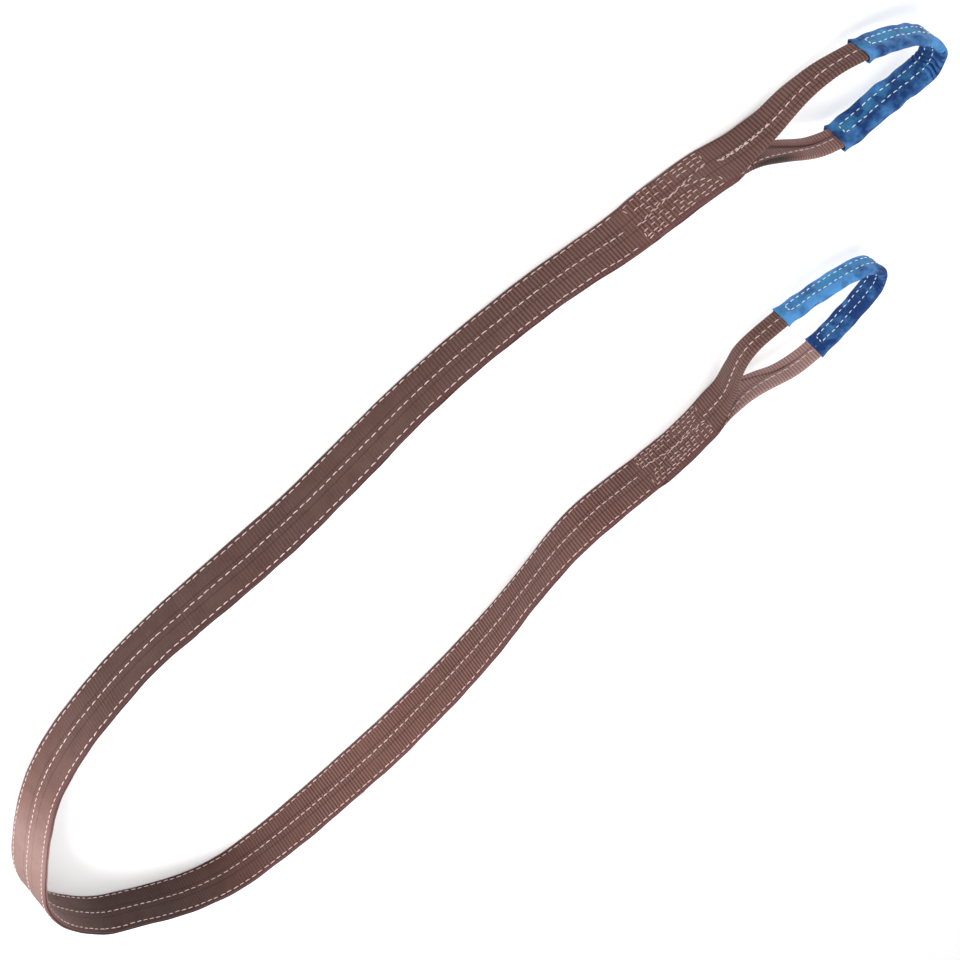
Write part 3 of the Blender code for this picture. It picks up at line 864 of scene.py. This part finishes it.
def web_material():
    nodes = Nodes("web_brown_woven")
    place = nodes.attribute("web_place", "Vector")
    parts = nodes.add("ShaderNodeSeparateXYZ", {0: place})
    s, v, vigour = parts.outputs
    position = nodes.add("ShaderNodeTexCoord").outputs["Object"]
    # Ribs: the same pitch and phase as the mesh, with a painted highlight on the crests and
    # painted shade in the grooves.
    turn = nodes.math("MULTIPLY", s, 2 * math.pi / RIB_PITCH)
    wave = nodes.math("MULTIPLY_ADD", nodes.math("COSINE", turn), 0.5, 0.5)
    groove = nodes.ramp(wave, 0.30, 0.0)
    crest = nodes.ramp(wave, 0.62, 1.0)
    blotch = nodes.noise(position, 9.0, 4.0)
    streak = nodes.noise(position, 55.0, 3.0)
    fibre = nodes.noise(position, 900.0, 2.0)
    blotched = nodes.ramp(blotch, 0.35, 0.68)
    base = nodes.mix(blotched, (0.155, 0.078, 0.064, 1), (0.178, 0.104, 0.088, 1))
    base = nodes.mix(nodes.ramp(streak, 0.42, 0.72, 0.0, 0.45), base, (0.118, 0.056, 0.047, 1))
    crest_highlight = nodes.math("MULTIPLY", crest, nodes.ramp(vigour, 0.0, 1.0, 0.0, 0.60))
    base = nodes.mix(crest_highlight, base, (0.300, 0.176, 0.152, 1))
    groove_shade = nodes.math("MULTIPLY", groove, nodes.ramp(vigour, 0.0, 1.0, 0.0, 0.88))
    base = nodes.mix(groove_shade, base, (0.052, 0.021, 0.019, 1))
    away = nodes.math("ABSOLUTE", v)
    tracer = bell(nodes, away, TRACER, 0.0009)
    base = nodes.mix(nodes.math("MULTIPLY", tracer, 0.78), base, (0.040, 0.014, 0.014, 1))
    selvedge = nodes.ramp(away, HALF - 0.0042, HALF - 0.0026)
    base = nodes.mix(nodes.math("MULTIPLY", selvedge, 0.6), base, (0.125, 0.044, 0.045, 1))
    fluff = nodes.ramp(fibre, 0.35, 0.75, 0.86, 1.14)
    grey = nodes.add("ShaderNodeCombineXYZ", {0: fluff, 1: fluff, 2: fluff}).outputs[0]
    base = nodes.mix(1.0, base, grey, "MULTIPLY")
    base = nodes.mix(1.0, base, nodes.tinted("web_tone", (1.05, 0.885, 0.85)), "MULTIPLY")
    # Where wear and painted light make the web palest, it is greyer too, but for the grooves.
    greying = nodes.ramp(nodes.attribute("web_tone"), 0.85, 1.60, 0.0, 0.62)
    greying = nodes.math("MULTIPLY", greying, nodes.math("SUBTRACT", 1.0, groove_shade))
    base = nodes.mix(greying, base, (0.345, 0.258, 0.244, 1))
    nodes.put(nodes.shader.inputs["Base Color"], base)
    nodes.put(nodes.shader.inputs["Roughness"], nodes.ramp(streak, 0.2, 0.8, 0.62, 0.86))
    nodes.shader.inputs["Sheen Weight"].default_value = 0.14
    nodes.shader.inputs["Sheen Roughness"].default_value = 0.45
    nodes.shader.inputs["Specular IOR Level"].default_value = 0.26
    # Warp yarns along the web and the twist of the weft yarns across it.
    warp = nodes.math("SINE", nodes.math("MULTIPLY", v, 2 * math.pi / WARP_PITCH))
    weft = nodes.math("SINE", nodes.math("MULTIPLY", s, 2 * math.pi / WEFT_PITCH))
    weave = nodes.math("MULTIPLY", warp, weft)
    first = nodes.bump(weave, 0.32, 0.00035)
    second = nodes.bump(fibre, 0.25, 0.0004, first)
    nodes.put(nodes.shader.inputs["Normal"], second)
    return nodes.material


def sleeve_material():
    nodes = Nodes("sleeve_blue_woven")
    place = nodes.attribute("web_place", "Vector")
    parts = nodes.add("ShaderNodeSeparateXYZ", {0: place})
    s, v, _ = parts.outputs
    position = nodes.add("ShaderNodeTexCoord").outputs["Object"]
    cloud = nodes.noise(position, 48.0, 3.0)
    fine = nodes.noise(position, 130.0, 3.0)
    fibre = nodes.noise(position, 1100.0, 2.0)
    between = nodes.math(
        "MULTIPLY",
        nodes.ramp(v, SLEEVE_ROWS[0] - 0.001, SLEEVE_ROWS[0] + 0.001),
        nodes.ramp(v, SLEEVE_ROWS[1] + 0.001, SLEEVE_ROWS[1] - 0.001),
    )
    tone = nodes.attribute("web_tone")
    # Painted light and shade: the sleeve's tone, with random dark and light patches standing for
    # the shading of its wrinkles.
    mottle = nodes.math("ADD", tone, nodes.ramp(cloud, 0.32, 0.68, -0.50, 0.50))
    mottle = nodes.math("ADD", mottle, nodes.ramp(fine, 0.30, 0.70, -0.16, 0.16))
    mottle = nodes.ramp(mottle, 0.0, 1.0)
    base = nodes.mix(mottle, (0.001, 0.026, 0.125, 1), (0.054, 0.215, 0.470, 1))
    teal = nodes.math("MULTIPLY", between, nodes.ramp(cloud, 0.40, 0.60, 0.10, 0.70))
    teal = nodes.math("MULTIPLY", teal, nodes.ramp(tone, 0.08, 0.34, 0.15, 1.0))
    base = nodes.mix(teal, base, (0.018, 0.150, 0.270, 1))
    nodes.put(nodes.shader.inputs["Base Color"], base)
    nodes.put(nodes.shader.inputs["Roughness"], nodes.ramp(fine, 0.2, 0.8, 0.50, 0.74))
    nodes.shader.inputs["Sheen Weight"].default_value = 0.06
    nodes.shader.inputs["Sheen Roughness"].default_value = 0.40
    nodes.shader.inputs["Specular IOR Level"].default_value = 0.22
    warp = nodes.math("SINE", nodes.math("MULTIPLY", s, 2 * math.pi / SLEEVE_WEAVE))
    weft = nodes.math("SINE", nodes.math("MULTIPLY", v, 2 * math.pi / SLEEVE_WEAVE))
    weave = nodes.math("MULTIPLY", warp, weft)
    wrinkle = nodes.bump(fine, 0.55, 0.0026)
    first = nodes.bump(weave, 0.30, 0.0003, wrinkle)
    nodes.put(nodes.shader.inputs["Normal"], nodes.bump(fibre, 0.2, 0.0003, first))
    return nodes.material


def thread_material(name, light, dark):
    nodes = Nodes(name)
    position = nodes.add("ShaderNodeTexCoord").outputs["Object"]
    soil = nodes.noise(position, 60.0, 3.0)
    twist = nodes.noise(position, 1600.0, 2.0)
    base = nodes.mix(nodes.ramp(soil, 0.35, 0.70), light, dark)
    nodes.put(nodes.shader.inputs["Base Color"], base)
    nodes.put(nodes.shader.inputs["Roughness"], nodes.ramp(twist, 0.2, 0.8, 0.45, 0.70))
    nodes.shader.inputs["Sheen Weight"].default_value = 0.2
    nodes.put(nodes.shader.inputs["Normal"], nodes.bump(twist, 0.4, 0.0003))
    return nodes.material


def floor_material():
    nodes = Nodes("floor_pale")
    position = nodes.add("ShaderNodeTexCoord").outputs["Object"]
    grain = nodes.noise(position, 30.0, 3.0)
    base = nodes.mix(grain, (0.90, 0.90, 0.90, 1), (0.93, 0.93, 0.93, 1))
    nodes.put(nodes.shader.inputs["Base Color"], base)
    nodes.shader.inputs["Roughness"].default_value = 0.9
    nodes.shader.inputs["Specular IOR Level"].default_value = 0.1
    return nodes.material


WEB = web_material()
SLEEVE = sleeve_material()
PINK_THREAD = thread_material("thread_pink", (0.62, 0.48, 0.45, 1), (0.46, 0.33, 0.30, 1))
SOILED_THREAD = thread_material("thread_soiled", (0.54, 0.40, 0.37, 1), (0.38, 0.26, 0.24, 1))
WHITE_THREAD = thread_material("thread_white", (0.72, 0.78, 0.78, 1), (0.50, 0.60, 0.62, 1))


def blend_end(obj):
    """Bakes the piece's place into its mesh."""
    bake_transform(obj)


def blend_turn(obj):
    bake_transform(obj)


def dress(obj, material):
    obj.data.materials.clear()
    obj.data.materials.append(material)


def build_end(end):
    """One end: the web that runs through its eye, its tail, sleeve and all its stitches."""
    run = end_stations(end)
    web = sweep_web(f"eye_and_strand_web_{end}", run)
    dress(web, WEB)
    blend_end(web)
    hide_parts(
        f"eye_web_{end}", f"inner_splice_ply_{end}", f"outer_splice_ply_{end}",
        f"inner_ply_{end}", f"outer_ply_{end}",
    )
    loop = run.eye[1] - run.eye[0]

    low, high = TAIL_SPAN[end]
    s = rib_grid(low, high)
    middle, normal, width = body_frame(s)
    unfolded = np.zeros((len(s), 2))
    vigour = np.full(len(s), 0.4)
    tail_run = Run(middle, normal, width, s + RIB_PITCH / 2, unfolded, vigour, web_tone(s))
    tail = sweep_web(f"sewn_in_tail_{end}", tail_run, TAIL_WIDTH)
    dress(tail, WEB)
    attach(tail, f"splice_{end}")
    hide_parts(f"splice_tail_{end}")

    rng = np.random.default_rng(STITCH_SEED[end])
    for label, side in (("inner", 1), ("outer", -1)):
        sewn = splice_stitches(f"splice_sewing_{label}_{end}", side, *SEWN_SPAN[end], rng)
        dress(sewn, SOILED_THREAD)
        blend_end(sewn)
        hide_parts(f"splice_stitch_{label}_{end}")
        seams = seam_stitches(f"seam_sewing_{label}_{end}", side, *SEAM_SPAN[end], rng)
        dress(seams, PINK_THREAD)
        blend_end(seams)
        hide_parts(*[f"{row}_seam_{label}_{end}" for row in SEAM_ROWS])

    near, far = SLEEVE_FROM[end]
    start, stop = near, loop - far
    sleeve, surface = make_sleeve(f"sewn_wear_sleeve_{end}", run, start, stop, end)
    dress(sleeve, SLEEVE)
    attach(sleeve, f"splice_{end}")
    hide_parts(f"wear_sleeve_{end}")
    for leg in ("near", "far"):
        sewn = sleeve_stitches(f"sleeve_sewing_{leg}_{end}", surface, start, stop, leg, rng)
        dress(sewn, WHITE_THREAD)
        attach(sewn, f"splice_{end}")
        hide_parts(f"sleeve_stitch_{leg}_{end}")
    eye_row_stitches(run, end, rng)


def folded_surface(run, where, v):
    """Points and normals on the web's sewn face, at distances and web coordinates."""
    def pick(values):
        columns = values.reshape(len(values), -1).T
        return np.stack([np.interp(where, run.where, c) for c in columns], -1)

    across, depth, turn = fold_section(pick(run.fold), v[:, None])
    normal = unit(pick(run.normal))
    width = unit(pick(run.width))
    face = normal * np.cos(turn) + width * np.sin(turn)
    point = pick(run.middle) + width * across + normal * depth + face * PLY / 2
    return point, face


def eye_row_stitches(run, end, rng):
    """The centre and upper seams where they run on along the folded legs to the sleeve."""
    near, far = SLEEVE_FROM[end]
    start, stop = run.eye
    under_sleeve = 0.008
    near_mouth = start + near + under_sleeve
    far_mouth = stop - far - under_sleeve
    centre, upper = SEAM_ROWS["centre"], SEAM_ROWS["upper"]
    spans = [
        (start - 0.012, near_mouth, centre, 1.0), (far_mouth, stop + 0.012, centre, 1.0),
        (start - 0.004, near_mouth, upper, 1.0), (far_mouth, stop + 0.004, upper, 1.0),
    ]
    if end == "a":
        # The centre seam is sewn over and over beside the crotch.
        spans.append((start - 0.014, start + 0.055, centre - 0.0013, 0.6))
        spans.append((start - 0.010, start + 0.040, centre + 0.0009, 0.6))
    parts = []
    for low_end, high_end, row, spacing in spans:
        pitch = STITCH_PITCH * spacing
        low, high = dashes(low_end, high_end, pitch, STITCH_LENGTH * spacing, 0.0003, rng)
        slant = rng.normal(0, 0.0003, len(low)) + (0.0007 if end == "b" else 0.0)
        a, n = folded_surface(run, low, np.full(len(low), row) - slant / 2)
        b, _ = folded_surface(run, high, np.full(len(low), row) + slant / 2)
        parts.append((a, b, n))
    a, b, n = (np.vstack([p[k] for p in parts]) for k in range(3))
    obj = stitch_mesh(f"eye_sewing_{end}", a, b, n, THREAD_RADIUS)
    dress(obj, PINK_THREAD)
    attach(obj, f"splice_{end}")


def build_turn():
    """The two plies round the turn of the U, and their seam stitches."""
    rng = np.random.default_rng(STITCH_SEED["turn"])
    for label, side in (("inner", 1), ("outer", -1)):
        run = body_run(SPLIT_A, SPLIT_B, side)
        web = sweep_web(f"turn_web_{label}", run)
        dress(web, WEB)
        blend_turn(web)
        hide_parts(f"{label}_ply_a", f"{label}_ply_b")
        seams = seam_stitches(f"turn_seam_sewing_{label}", side, SPLIT_A, SPLIT_B, rng)
        dress(seams, PINK_THREAD)
        blend_turn(seams)


# ============ floor, light and camera ============
FLOOR_REACH = 14.0
FLOOR_DROP = 0.0003
WORLD_STRENGTH = 0.96


def make_floor():
    data = bpy.data.meshes.new("floor")
    reach = FLOOR_REACH
    data.from_pydata(
        [(-reach, -reach, 0), (reach, -reach, 0), (reach, reach, 0), (-reach, reach, 0)],
        [], [(0, 1, 2, 3)],
    )
    floor = bpy.data.objects.new("floor", data)
    bpy.context.scene.collection.objects.link(floor)
    floor.location.z = -FLOOR_DROP
    data.materials.append(floor_material())


def area_light(name, place, aim, power, size, shadow=True):
    data = bpy.data.lights.new(name, "AREA")
    data.energy = power
    data.size = size
    data.use_shadow = shadow
    light = bpy.data.objects.new(name, data)
    light.location = place
    light.rotation_euler = (Vector(aim) - Vector(place)).to_track_quat("-Z", "Y").to_euler()
    bpy.context.scene.collection.objects.link(light)


def make_light():
    world = bpy.data.worlds.new("studio")
    world.use_nodes = True
    background = world.node_tree.nodes["Background"]
    background.inputs["Color"].default_value = (1, 1, 1, 1)
    background.inputs["Strength"].default_value = WORLD_STRENGTH
    bpy.context.scene.world = world
    bpy.context.scene.view_settings.view_transform = "Standard"
    area_light("key", (2.8, -1.4, 1.75), (0, 0, 0), 110, 1.8)
    area_light("fill", (-2.3, -1.9, 1.3), (-0.6, 0.05, 0), 24, 1.2, shadow=False)
    area_light("top", (-0.3, 0.3, 2.6), (0, 0, 0), 14, 1.8)


CAMERA_AT = Vector((-0.2315, -1.8620, 1.1194))
CAMERA_TARGET = Vector((-0.0184, -0.0111, 0.0))
CAMERA_ROLL = math.radians(140.87)
CAMERA_LENS = 71.2


def make_camera():
    data = bpy.data.cameras.new("camera")
    data.lens = CAMERA_LENS
    data.sensor_width = 36.0
    camera = bpy.data.objects.new("camera", data)
    view = (CAMERA_TARGET - CAMERA_AT).to_track_quat("-Z", "Y").to_matrix()
    roll = Matrix.Rotation(CAMERA_ROLL, 3, "Z")
    camera.matrix_world = Matrix.Translation(CAMERA_AT) @ (view @ roll).to_4x4()
    bpy.context.scene.collection.objects.link(camera)
    bpy.context.scene.camera = camera


make_camera()
make_floor()
make_light()
for END in ("a", "b"):
    build_end(END)
build_turn()
